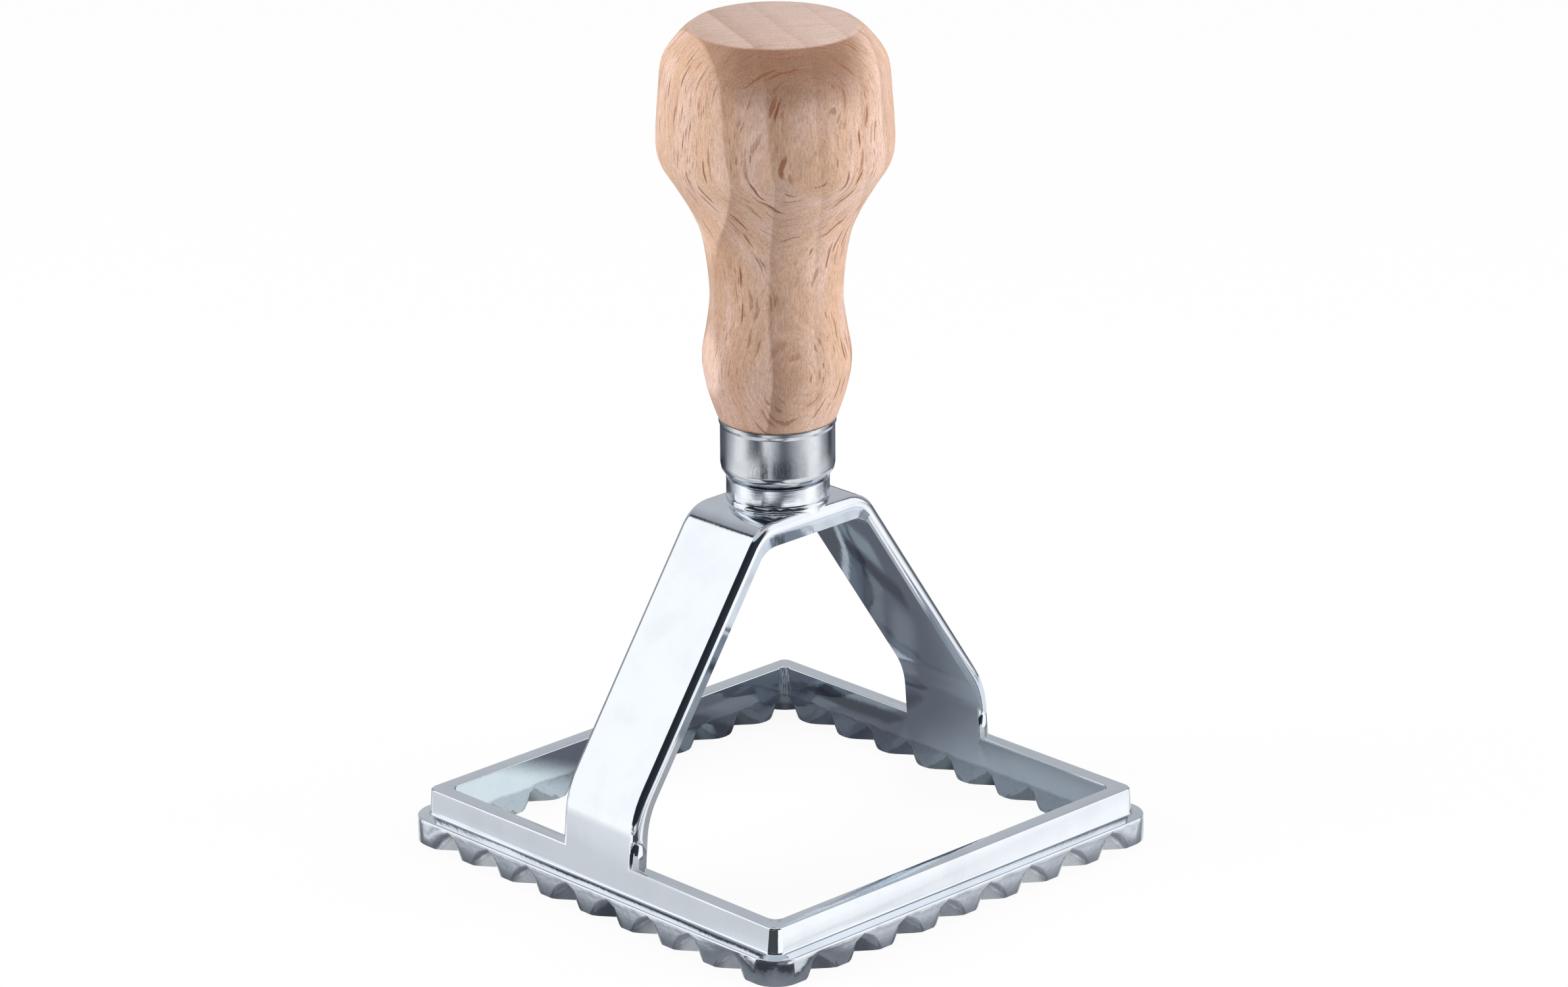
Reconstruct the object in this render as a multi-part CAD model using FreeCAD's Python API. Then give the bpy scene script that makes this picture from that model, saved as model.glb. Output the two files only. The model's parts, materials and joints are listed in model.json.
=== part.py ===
import FreeCAD, Part
import math
import os

# Sizes in millimetres. The cutter stands on z = 0, the handle rises along +Z and
# the two arms spread along X. The centre of the square opening is the origin.

# Ring wall of the square frame
opening_half = 32.38
opening_corner_radius = 1.20
wall_thickness = 2.40
wall_top_corner_radius = 1.35
wall_draft = 0.22
wall_foot_corner_radius = 1.60
ring_top = 7.60
wall_foot_chamfer = 0.32
wall_outer_chamfer = 0.24
wall_foot_embed = 1.00
wall_inner_chamfer = 0.20

# Flange and cutting skirt
flange_reach = 2.17
flange_corner_radius = 4.00
flange_top = 3.80
flange_chamfer = 0.20
skirt_bottom_chamfer = 0.10

# Pinked edge: slanting grooves cut from outside and, half a pitch further, from inside
outer_groove_count = 8
inner_groove_count = 9
row_end_inset = 0.06
outer_groove_depth = 2.16
inner_groove_depth = 2.24
groove_half_angle = 52.0
groove_apex_height = 3.46
groove_knee_height = 2.52
groove_knee_share = 0.52
groove_run_out = 0.60
groove_mouth_reach = 1.20
lobe_radius = 2.80
lobe_overcut = 0.02
lobe_steps = 2

# Arms, one bent strip of even thickness that runs into the ring wall
arm_width = 14.40
arm_thickness = 2.40
arm_edge_radius = 1.00
foot_root_depth = 1.92
foot_root_cover = 0.05
foot_bend_rise = 7.80
foot_bend_inset = 0.70
foot_bend_radius = 13.00
inner_foot_radius = 10.60

# Bridge between the arms
bridge_top = 50.58
bridge_thickness = 3.30
shoulder_reach = 2.90
shoulder_radius = 5.50
inner_shoulder_radius = 3.60

# Turned collar and tang, one piece with the bridge
collar_radius = 7.10
collar_height = 3.50
collar_ring_flare = 0.06
collar_ring_height = 0.30
collar_groove_rise = 0.85
collar_groove_width = 0.25
collar_groove_depth = 0.30
collar_edge_chamfer = 0.20
collar_embed = 1.50
tang_radius = 4.00
tang_length = 30.00
tang_chamfer = 0.80

# Ferrule, a drawn steel cup around the foot of the handle
ferrule_radius = 7.88
ferrule_height = 8.40
sheet_thickness = 0.60
ferrule_corner_radius = 1.90
ferrule_corner_steps = 4
ferrule_lip_width = 0.18
ferrule_lip_height = 0.55
ferrule_lip_rise = 0.45
ferrule_rim_chamfer = 0.12
ferrule_hole_clearance = 0.15

# Fit of the handle in the ferrule and over the tang
spigot_clearance = 0.04
spigot_end_gap = 0.05
bore_clearance = 0.05
bore_spare_depth = 1.50

# Turned handle: radius of each corner of the outline, its height above the ferrule and its round.
# The rounds of the knob are turned in a few narrow steps.
seat_overhang = 0.06
bulb_radius = 10.45
bulb_rise = 7.41
bulb_round = 10.00
waist_radius = 8.60
waist_rise = 20.30
waist_round = 22.00
flare_radius = 10.94
flare_rise = 28.96
flare_round = 14.00
knob_radius = 16.31
knob_rise = 37.68
knob_round = 6.00
crown_radius = 15.32
crown_rise = 51.50
crown_round = 5.00
round_steps = 4
top_disc_radius = 11.05
handle_length = 55.40

# Plain counts and angles
side_count = 4
half = 0.5
quarter_turn = 90.0
half_turn = 180.0
full_turn = 360.0
small = 0.001
overshoot = 1.0

# Places that follow from the sizes above
wall_top_half = opening_half + wall_thickness
flange_half = wall_top_half + flange_reach
groove_pitch = (opening_half - row_end_inset) / half / (inner_groove_count - 1)
collar_top = bridge_top + collar_height
ferrule_top = collar_top + ferrule_height
tang_top = collar_top + tang_length
wall_foot_height = flange_top + wall_foot_chamfer
wall_foot_half = wall_top_half + wall_draft

up = FreeCAD.Vector(0, 0, 1)
origin = FreeCAD.Vector(0, 0, 0)


def point(x, y, z):
    return FreeCAD.Vector(x, y, z)


def in_section(radius, height):
    """Point of an outline drawn beside the handle axis."""
    return point(radius, 0, height)


def revolve(edges):
    """Solid of revolution about the handle axis from a closed outline."""
    face = Part.Face(Part.Wire(Part.__sortEdges__(edges)))
    return face.revolve(origin, up, full_turn)


def chain(points):
    """Straight edges through the points in order."""
    return [Part.makeLine(start, end) for start, end in zip(points[:-1], points[1:])]


def rounded_square(half_side, radius, height):
    """Closed outline of a square with round corners, centred on the axis."""
    inner = half_side - radius
    shift = radius * math.cos(math.radians(quarter_turn * half))
    edges = []
    for turn in range(side_count):
        start = point(-inner, -half_side, height)
        end = point(inner, -half_side, height)
        middle = point(inner + shift, -inner - shift, height)
        corner_end = point(half_side, -inner, height)
        side = Part.makeLine(start, end)
        corner = Part.Arc(end, middle, corner_end).toShape()
        for edge in (side, corner):
            edge.rotate(origin, up, quarter_turn * turn)
            edges.append(edge)
    return Part.Wire(edges)


def square_block(sections):
    """Solid through outlines that are given as half side, corner radius and height."""
    return Part.makeLoft([rounded_square(*section) for section in sections], True, True)


def make_skirt():
    """Flange with its skirt, as high as the flange, with broken edges."""
    foot_half = flange_half - skirt_bottom_chamfer
    foot_corner = flange_corner_radius - skirt_bottom_chamfer
    rim_half = flange_half - flange_chamfer
    rim_corner = flange_corner_radius - flange_chamfer
    return square_block([
        (foot_half, foot_corner, 0),
        (flange_half, flange_corner_radius, skirt_bottom_chamfer),
        (flange_half, flange_corner_radius, flange_top - flange_chamfer),
        (rim_half, rim_corner, flange_top),
    ])


def make_wall():
    """Drafted wall with a hollow corner at its foot and a broken upper edge."""
    foot_half = wall_foot_half + wall_foot_chamfer
    foot_corner = wall_foot_corner_radius + wall_foot_chamfer
    rim_half = wall_top_half - wall_outer_chamfer
    rim_corner = wall_top_corner_radius - wall_outer_chamfer
    return square_block([
        (foot_half, foot_corner, flange_top - wall_foot_embed),
        (foot_half, foot_corner, flange_top),
        (wall_foot_half, wall_foot_corner_radius, wall_foot_height),
        (wall_top_half, wall_top_corner_radius, ring_top - wall_outer_chamfer),
        (rim_half, rim_corner, ring_top),
    ])


def make_opening():
    """What is cut out of the ring: a square hole that widens at its upper edge."""
    mouth_half = opening_half + wall_inner_chamfer
    mouth_corner = opening_corner_radius + wall_inner_chamfer
    return square_block([
        (opening_half, opening_corner_radius, -overshoot),
        (opening_half, opening_corner_radius, ring_top - wall_inner_chamfer),
        (mouth_half, mouth_corner, ring_top),
        (mouth_half, mouth_corner, ring_top + overshoot),
    ])


def make_ring():
    """Square ring wall standing on the flange, with the opening cut through."""
    return make_skirt().fuse(make_wall()).removeSplitter().cut(make_opening())


def groove_outline(depth, share, height):
    """Corners of one groove at a height: a V whose lips round over into the lobes beside it."""
    angle = math.radians(groove_half_angle)
    lip_u = -lobe_overcut
    setback = lobe_radius * math.cos(angle) / (1 + math.sin(angle))
    lip_s = (depth - lip_u) * math.tan(angle) + setback
    turn = math.radians(quarter_turn - groove_half_angle)
    right = [(lip_s, -groove_mouth_reach)]
    for step in range(lobe_steps + 1):
        part_turn = turn * step / lobe_steps
        along = lip_s - lobe_radius * math.sin(part_turn)
        inward = lip_u + lobe_radius * (1 - math.cos(part_turn))
        right.append((along, inward))
    left = [(-s, u) for s, u in reversed(right)]
    return [point(s * share, u * share, height) for s, u in right + [(0, depth)] + left]


def groove_cutter(depth):
    """Slanting groove: full depth at the edge, bent at the knee, closing to a point above."""
    growth = (1 - groove_knee_share) / groove_knee_height
    low = groove_outline(depth, 1 + growth * groove_run_out, -groove_run_out)
    knee = groove_outline(depth, groove_knee_share, groove_knee_height)
    apex = point(0, 0, groove_apex_height)
    outlines = [low]
    for index, corner in enumerate(low):
        after = (index + 1) % len(low)
        outlines.append([corner, low[after], knee[after], knee[index]])
        outlines.append([knee[index], knee[after], apex])
    faces = [Part.Face(Part.makePolygon(corners + corners[:1])) for corners in outlines]
    return Part.makeSolid(Part.makeShell(faces))


def groove_row(cutter, count, face_half, turn):
    """One row of grooves along a side, evenly spaced about its middle."""
    row = []
    for index in range(count):
        along = (index - (count - 1) * half) * groove_pitch
        groove = cutter.copy()
        groove.translate(point(along, -face_half, 0))
        groove.rotate(origin, up, quarter_turn * turn)
        row.append(groove)
    return row


def groove_cutters():
    """All grooves of the four sides, outer ones and inner ones half a pitch apart."""
    outer = groove_cutter(outer_groove_depth)
    inner = groove_cutter(inner_groove_depth)
    inner.rotate(origin, up, half_turn)
    cutters = []
    for turn in range(side_count):
        cutters += groove_row(outer, outer_groove_count, flange_half, turn)
        cutters += groove_row(inner, inner_groove_count, opening_half, turn)
    return cutters


def corner_round(before, corner, after, radius):
    """Start, middle and end of the round between two straight lines."""
    first = (before - corner).normalize()
    second = (after - corner).normalize()
    half_angle = first.getAngle(second) * half
    setback = radius / math.tan(half_angle)
    bisector = (first + second).normalize()
    middle = corner + bisector * (radius / math.sin(half_angle) - radius)
    return corner + first * setback, middle, corner + second * setback


def bent_path(stations):
    """Edges of a path in the side view with a round at each inner station, given by kind and radius."""
    corners = [in_section(x, z) for x, z, kind, radius in stations]
    edges = []
    start = corners[0]
    for index in range(1, len(corners) - 1):
        kind, radius = stations[index][-2:]
        bend = Part.Arc(*corner_round(corners[index - 1], corners[index], corners[index + 1], radius))
        edges.append(Part.makeLine(start, bend.StartPoint))
        if kind == "hollow":
            edges.append(bend.toBSpline().toShape())
        elif kind == "stepped":
            edges += chain(bend.discretize(round_steps + 1))
        else:
            edges.append(bend.toShape())
        start = bend.EndPoint
    edges.append(Part.makeLine(start, corners[-1]))
    return edges


def strip_paths():
    """Outer and inner path of the bent strip, both from the right foot to the left foot."""
    root_height = ring_top - foot_root_depth
    draft = wall_draft * (ring_top - root_height) / (ring_top - wall_foot_height)
    root_outer = wall_top_half + draft - foot_root_cover
    root_inner = opening_half + foot_root_cover
    bend_half = wall_top_half - foot_bend_inset
    bend_height = ring_top + foot_bend_rise
    shoulder_half = collar_radius + shoulder_reach
    underside = bridge_top - bridge_thickness
    arm_slope = (bend_half - shoulder_half) / (bridge_top - bend_height)
    foot_slope = (root_outer - bend_half) / (bend_height - root_height)
    arm_inset = arm_thickness * math.sqrt(1 + arm_slope * arm_slope)
    foot_inset = arm_thickness * math.sqrt(1 + foot_slope * foot_slope)
    drop = (arm_inset - foot_inset) / (arm_slope - foot_slope)
    inner_bend_half = bend_half - foot_inset + foot_slope * drop
    inner_bend_height = bend_height - drop
    inner_shoulder_half = bend_half - (underside - bend_height) * arm_slope - arm_inset
    outer = [
        (root_outer, root_height, "end", 0),
        (bend_half, bend_height, "full", foot_bend_radius),
        (shoulder_half, bridge_top, "full", shoulder_radius),
    ]
    inner = [
        (root_inner, root_height, "end", 0),
        (inner_bend_half, inner_bend_height, "full", inner_foot_radius),
        (inner_shoulder_half, underside, "full", inner_shoulder_radius),
    ]
    paths = []
    for side in (outer, inner):
        mirrored = [(-x, z, kind, radius) for x, z, kind, radius in reversed(side)]
        paths.append(bent_path(side + mirrored))
    return paths


def make_strip():
    """Arms and bridge as one bent strip, rounded along its outer long edges."""
    outer, inner = strip_paths()
    feet = []
    for index in (0, -1):
        outer_end = outer[index].Vertexes[index].Point
        inner_end = inner[index].Vertexes[index].Point
        feet.append(Part.makeLine(outer_end, inner_end))
    outline = Part.Wire(Part.__sortEdges__(outer + inner + feet))
    strip = Part.Face(outline).extrude(point(0, arm_width, 0))
    strip.translate(point(0, -arm_width * half, 0))
    outer_path = Part.Wire(outer)
    long_edges = []
    for edge in strip.Edges:
        middle = edge.valueAt((edge.FirstParameter + edge.LastParameter) * half)
        flat = Part.Vertex(in_section(middle.x, middle.z))
        along_side = edge.BoundBox.YLength < small
        if along_side and flat.distToShape(outer_path)[0] < small:
            long_edges.append(edge)
    return strip.makeFillet(arm_edge_radius, long_edges)


def make_collar():
    """Turned collar with its ring and groove, and the tang above it."""
    ring_radius = collar_radius + collar_ring_flare
    groove_radius = collar_radius - collar_groove_depth
    groove_low = bridge_top + collar_groove_rise
    groove_high = groove_low + collar_groove_width
    root = bridge_top - collar_embed
    outline = [
        in_section(0, root),
        in_section(ring_radius, root),
        in_section(ring_radius, bridge_top + collar_ring_height),
        in_section(collar_radius, groove_low),
        in_section(groove_radius, groove_low),
        in_section(groove_radius, groove_high),
        in_section(collar_radius, groove_high),
        in_section(collar_radius, collar_top - collar_edge_chamfer),
        in_section(collar_radius - collar_edge_chamfer, collar_top),
        in_section(tang_radius, collar_top),
        in_section(tang_radius, tang_top - tang_chamfer),
        in_section(tang_radius - tang_chamfer, tang_top),
        in_section(0, tang_top),
        in_section(0, root),
    ]
    return revolve(chain(outline))


def make_frame():
    """The cast frame in one piece."""
    cutter = make_ring().cut(groove_cutters())
    return cutter.fuse([make_strip(), make_collar()]).removeSplitter()


def make_ferrule():
    """Drawn cup with a hole for the tang, a rounded lower edge and a flared lip."""
    lip_radius = ferrule_radius + ferrule_lip_width
    lip_low = ferrule_top - ferrule_lip_height
    inner_radius = ferrule_radius - sheet_thickness
    hole = tang_radius + ferrule_hole_clearance
    centre_r = ferrule_radius - ferrule_corner_radius
    centre_z = collar_top + ferrule_corner_radius
    floor_top = collar_top + sheet_thickness
    outside = []
    for step in range(ferrule_corner_steps + 1):
        turn = math.radians(quarter_turn * step / ferrule_corner_steps)
        along = centre_r + ferrule_corner_radius * math.sin(turn)
        height = centre_z - ferrule_corner_radius * math.cos(turn)
        outside.append(in_section(along, height))
    outside += [
        in_section(ferrule_radius, lip_low - ferrule_lip_rise),
        in_section(lip_radius, lip_low),
        in_section(lip_radius, ferrule_top - ferrule_rim_chamfer),
        in_section(lip_radius - ferrule_rim_chamfer, ferrule_top),
        in_section(inner_radius, ferrule_top),
        in_section(inner_radius, centre_z),
        in_section(centre_r, floor_top),
        in_section(hole, floor_top),
        in_section(hole, collar_top),
        in_section(centre_r, collar_top),
    ]
    return revolve(chain(outside))


def handle_skin():
    """Turned outline from the seat on the ferrule to the top disc, straight between its rounds."""
    seat_radius = ferrule_radius + ferrule_lip_width + seat_overhang
    stations = [
        (seat_radius, 0, "end", 0),
        (bulb_radius, bulb_rise, "full", bulb_round),
        (waist_radius, waist_rise, "hollow", waist_round),
        (flare_radius, flare_rise, "hollow", flare_round),
        (knob_radius, knob_rise, "stepped", knob_round),
        (crown_radius, crown_rise, "stepped", crown_round),
        (top_disc_radius, handle_length, "end", 0),
    ]
    return bent_path([(radius, ferrule_top + rise, kind, bend) for radius, rise, kind, bend in stations])


def make_handle():
    """Turned wooden handle with a spigot for the ferrule and a bore for the tang."""
    skin = handle_skin()
    inner_corner = ferrule_corner_radius - sheet_thickness
    spigot_radius = ferrule_radius - sheet_thickness - spigot_clearance
    spigot_bottom = collar_top + sheet_thickness + spigot_end_gap
    bore_radius = tang_radius + bore_clearance
    bore_top = tang_top + bore_spare_depth
    inside = [
        skin[0].Vertexes[0].Point,
        in_section(spigot_radius, ferrule_top),
        in_section(spigot_radius, spigot_bottom + inner_corner),
        in_section(spigot_radius - inner_corner, spigot_bottom),
        in_section(bore_radius, spigot_bottom),
        in_section(bore_radius, bore_top),
        in_section(0, bore_top),
        in_section(0, ferrule_top + handle_length),
        skin[-1].Vertexes[-1].Point,
    ]
    return revolve(skin + chain(inside))


os.makedirs("parts", exist_ok=True)
make_frame().exportStep("parts/stamp_frame.step")
make_ferrule().exportStep("parts/ferrule.step")
make_handle().exportStep("parts/handle.step")
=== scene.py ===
import json
import math

import bmesh
import bpy
from mathutils import Matrix, Vector
from mathutils.geometry import interpolate_bezier

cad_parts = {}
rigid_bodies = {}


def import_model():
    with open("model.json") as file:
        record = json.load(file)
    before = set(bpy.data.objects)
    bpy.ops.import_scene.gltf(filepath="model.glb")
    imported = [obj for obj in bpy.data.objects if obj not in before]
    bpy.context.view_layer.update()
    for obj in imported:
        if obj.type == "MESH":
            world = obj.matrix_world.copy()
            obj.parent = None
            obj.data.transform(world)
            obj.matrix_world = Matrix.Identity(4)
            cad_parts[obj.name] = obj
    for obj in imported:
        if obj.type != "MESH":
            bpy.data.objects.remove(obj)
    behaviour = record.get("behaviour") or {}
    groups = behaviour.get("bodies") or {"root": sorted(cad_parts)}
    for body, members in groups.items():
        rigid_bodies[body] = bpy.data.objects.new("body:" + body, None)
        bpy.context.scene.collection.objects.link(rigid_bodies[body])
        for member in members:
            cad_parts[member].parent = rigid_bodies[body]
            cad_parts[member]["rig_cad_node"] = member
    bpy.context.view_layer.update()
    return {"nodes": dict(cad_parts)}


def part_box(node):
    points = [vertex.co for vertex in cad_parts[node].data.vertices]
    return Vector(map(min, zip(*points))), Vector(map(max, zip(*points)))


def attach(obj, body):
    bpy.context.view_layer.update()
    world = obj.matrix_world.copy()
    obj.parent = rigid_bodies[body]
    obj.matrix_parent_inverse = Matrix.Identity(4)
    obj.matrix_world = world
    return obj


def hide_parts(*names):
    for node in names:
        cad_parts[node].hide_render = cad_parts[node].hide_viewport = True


bl_info = {
    "name": "Square ravioli stamp",
    "version": (1, 0, 0),
    "blender": (4, 5, 0),
    "location": "View3D > Sidebar > Stamp",
    "description": "Dresses the cast frame, the ferrule and the turned handle of a ravioli stamp",
    "category": "Object",
}

# Every size below is in metres and every angle in radians unless its name says otherwise.
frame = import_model()
handle_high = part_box("handle")[1]
ferrule_low, ferrule_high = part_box("ferrule")

MILLIMETRE = 0.001
PER_MM = (1000.0, 1000.0, 1000.0)
MERGE_DISTANCE = MILLIMETRE * 0.001
BODY = "root"

# Places in the shaders, in millimetres. A pair gives where something begins and where it is full.
BRIDGE_TOP = 50.6
TEETH_FADE = (4.1, 3.5)
COLLAR_FADE = (7.6, 7.3)
HANDLE_TOP = handle_high.z / MILLIMETRE
LEAN_SPAN = (HANDLE_TOP - 30.0, HANDLE_TOP - 10.0)
# Span and width of the darkened shoulder below the knob: partly oil in the end grain, partly painted shade
SHOULDER_OIL_AND_SHADE_SPAN = (HANDLE_TOP - 11.0, HANDLE_TOP - 2.0)
SHOULDER_OIL_AND_SHADE_WIDTH = (12.5, 6.0)
DISC_SPAN = (HANDLE_TOP - 0.45, HANDLE_TOP - 0.15)

# Turn of the growth bands and of the rays about the upright
BAND_TURN = math.radians(23.1)
RAY_TURN = math.radians(32.1)

# Darkness of the growth bands by the place across them, in millimetres, and their shift low and high on the handle
BAND_REACH = 20.0
BAND_SHIFT = (2.1, 0.2)
BANDS = (
    (-18.0, 0.20), (-11.75, 0.05), (-11.45, 0.75), (-9.0, 0.42), (-6.75, 0.22), (-6.45, 1.0), (-4.0, 0.50),
    (-0.45, 0.22), (-0.15, 0.60), (2.0, 0.20), (6.35, 0.06), (6.65, 0.36), (8.0, 0.15), (10.3, 0.05),
    (10.6, 0.45), (12.5, 0.20), (16.0, 0.15),
)

# Tint of a brightness: the power that red and blue are raised to
COOL_RED = 1.04
COOL_BLUE = 0.93
PIT_COLOUR = (0.10, 0.11, 0.12, 1)

# Outline of the turned handle: radius and height above the ferrule, in millimetres
HANDLE_OUTLINE = (
    (8.12, 0.00),
    (9.61, 4.60),
    (10.21, 8.90),
    (9.50, 13.60),
    (9.08, 18.30),
    (9.96, 25.60),
    (11.46, 29.60),
    (13.78, 33.60),
    (15.58, 36.55),
    (16.12, 39.60),
    (15.74, 46.00),
    (15.38, 49.80),
    (14.55, 51.80),
    (12.70, 54.10),
    (11.05, 55.40),
)


class StampSizes(bpy.types.PropertyGroup):
    """Sizes of the pieces that are made here"""

    turn_steps: bpy.props.IntProperty(
        name="Turn steps", description="Faces around each turned piece", default=96, min=24
    )
    span_steps: bpy.props.IntProperty(
        name="Span steps", description="Faces between two points of the handle's outline", default=5, min=2
    )
    seat_round: bpy.props.FloatProperty(
        name="Seat round", description="Worn edge of the wood above the ferrule", default=0.00022, unit="LENGTH"
    )
    disc_round: bpy.props.FloatProperty(
        name="Disc round", description="Softened edge of the flat top", default=0.00035, unit="LENGTH"
    )
    sheet: bpy.props.FloatProperty(
        name="Sheet", description="Thickness of the ferrule's steel", default=0.0006, unit="LENGTH"
    )
    ferrule_corner: bpy.props.FloatProperty(
        name="Ferrule corner", description="Radius of the ferrule's lower edge", default=0.0019, unit="LENGTH"
    )
    lip_height: bpy.props.FloatProperty(
        name="Lip height", description="Height of the flared lip", default=0.00055, unit="LENGTH"
    )
    lip_width: bpy.props.FloatProperty(
        name="Lip width", description="How far the lip stands out", default=0.00018, unit="LENGTH"
    )
    tang_hole: bpy.props.FloatProperty(
        name="Tang hole", description="Radius of the hole for the tang", default=0.00415, unit="LENGTH"
    )
    metal_angle: bpy.props.FloatProperty(
        name="Metal angle",
        description="Edges of the metal below this angle are shaded smooth",
        default=math.radians(47),
        subtype="ANGLE",
    )
    wood_angle: bpy.props.FloatProperty(
        name="Wood angle",
        description="Edges of the handle below this angle are shaded smooth",
        default=math.radians(50),
        subtype="ANGLE",
    )


class StampColours(bpy.types.PropertyGroup):
    """Colours of the wood and the metals"""

    beech: bpy.props.FloatVectorProperty(
        name="Beech", description="Main colour of the wood", default=(0.67, 0.44, 0.315), subtype="COLOR"
    )
    beech_pale: bpy.props.FloatVectorProperty(
        name="Pale beech", description="Pale pink streaks", default=(0.74, 0.525, 0.435), subtype="COLOR"
    )
    beech_warm: bpy.props.FloatVectorProperty(
        name="Warm beech", description="Golden tint in the bull's-eyes", default=(0.60, 0.37, 0.235), subtype="COLOR"
    )
    beech_disc: bpy.props.FloatVectorProperty(
        name="Sanded beech", description="Flat top, sanded back", default=(0.61, 0.465, 0.405), subtype="COLOR"
    )
    # The band colour also paints the shade on the shoulder below the knob
    beech_band_and_shade: bpy.props.FloatVectorProperty(
        name="Band", description="Darker growth bands", default=(0.28, 0.145, 0.09), subtype="COLOR"
    )
    fleck: bpy.props.FloatVectorProperty(
        name="Fleck", description="Short dark flecks", default=(0.27, 0.105, 0.05), subtype="COLOR"
    )
    zinc: bpy.props.FloatVectorProperty(
        name="Zinc", description="Bright plated casting", default=(0.82, 0.865, 0.92), subtype="COLOR"
    )
    zinc_teeth: bpy.props.FloatVectorProperty(
        name="Teeth", description="Duller casting on the teeth", default=(0.56, 0.60, 0.66), subtype="COLOR"
    )
    steel: bpy.props.FloatVectorProperty(
        name="Steel", description="Drawn steel of the ferrule", default=(0.615, 0.64, 0.68), subtype="COLOR"
    )


class StampStudio(bpy.types.PropertyGroup):
    """Camera and light"""

    azimuth: bpy.props.FloatProperty(
        name="Azimuth",
        description="Turn of the camera about the upright",
        default=math.radians(-44.1),
        subtype="ANGLE",
    )
    elevation: bpy.props.FloatProperty(
        name="Elevation", description="Height angle of the camera", default=math.radians(20.06), subtype="ANGLE"
    )
    roll: bpy.props.FloatProperty(
        name="Roll", description="Roll of the camera", default=math.radians(-0.42), subtype="ANGLE"
    )
    lens: bpy.props.FloatProperty(
        name="Lens", description="Focal length on a 36 mm sensor", default=149.48, unit="CAMERA"
    )
    distance: bpy.props.FloatProperty(
        name="Distance", description="From the aim point to the camera", default=0.9090, unit="LENGTH"
    )
    aim: bpy.props.FloatVectorProperty(
        name="Aim",
        description="Point in the middle of the picture",
        default=(0.01206, 0.01128, 0.04508),
        unit="LENGTH",
    )
    ambient: bpy.props.FloatProperty(
        name="Ambient", description="Strength of the even light", default=0.26
    )


def clear_scene():
    """Removes what Blender's own start file holds"""
    for item in list(bpy.data.objects):
        if "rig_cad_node" not in item and not item.name.startswith("body:"):
            bpy.data.objects.remove(item)


def link_piece(name, builder):
    """Object at the origin from a bmesh, whose places are in the mesh"""
    mesh = bpy.data.meshes.new(name)
    builder.to_mesh(mesh)
    builder.free()
    piece = bpy.data.objects.new(name, mesh)
    bpy.context.scene.collection.objects.link(piece)
    mesh.shade_smooth()
    return piece


def smooth_chain(points, steps):
    """Smooth curve through the points, as a list with the given steps to a span"""
    chain = [points[0]]
    last = len(points) - 1
    for index in range(last):
        before = points[max(index - 1, 0)]
        start, end = points[index], points[index + 1]
        after = points[min(index + 2, last)]
        first_handle = start + (end - before) / 6
        last_handle = end - (after - start) / 6
        chain += interpolate_bezier(start, first_handle, last_handle, end, steps + 1)[1:]
    return chain


def rounded(points, rounds, steps=4):
    """Outline whose corners get the radii of the list, 0 for a sharp one"""
    outline = []
    last = len(points)
    for index, radius in enumerate(rounds):
        corner = points[index]
        if radius == 0:
            outline.append(corner)
            continue
        back = (points[index - 1] - corner).normalized()
        ahead = (points[(index + 1) % last] - corner).normalized()
        half_turn = back.angle(ahead) / 2
        setback = radius / math.tan(half_turn)
        start = corner + back * setback
        end = corner + ahead * setback
        reach = radius * 4 / 3 * math.tan((math.pi / 2 - half_turn) / 2)
        outline += interpolate_bezier(start, start - back * reach, end - ahead * reach, end, steps + 1)
    return outline


def turned(outline, steps, closed):
    """bmesh of an outline in the XZ plane spun about the upright"""
    builder = bmesh.new()
    verts = [builder.verts.new(place) for place in outline]
    pairs = list(zip(verts[:-1], verts[1:]))
    if closed:
        pairs.append((verts[-1], verts[0]))
    edges = [builder.edges.new(pair) for pair in pairs]
    bmesh.ops.spin(
        builder,
        geom=verts + edges,
        cent=(0, 0, 0),
        axis=(0, 0, 1),
        angle=math.tau,
        steps=steps,
        use_merge=True,
    )
    bmesh.ops.remove_doubles(builder, verts=builder.verts, dist=MERGE_DISTANCE)
    bmesh.ops.recalc_face_normals(builder, faces=builder.faces)
    return builder


def shade_evenly(piece, angle):
    """Shading that follows the large faces, with edges above the angle kept sharp"""
    piece.data.set_sharp_from_angle(angle=angle)
    weights = piece.modifiers.new("Even shading", "WEIGHTED_NORMAL")
    weights.keep_sharp = True


def dress(piece, material, node):
    """Gives a piece its material and body, and hides the CAD node that it stands for"""
    piece.data.materials.clear()
    piece.data.materials.append(material)
    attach(piece, BODY)
    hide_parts(node)


# Shader helpers


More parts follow.
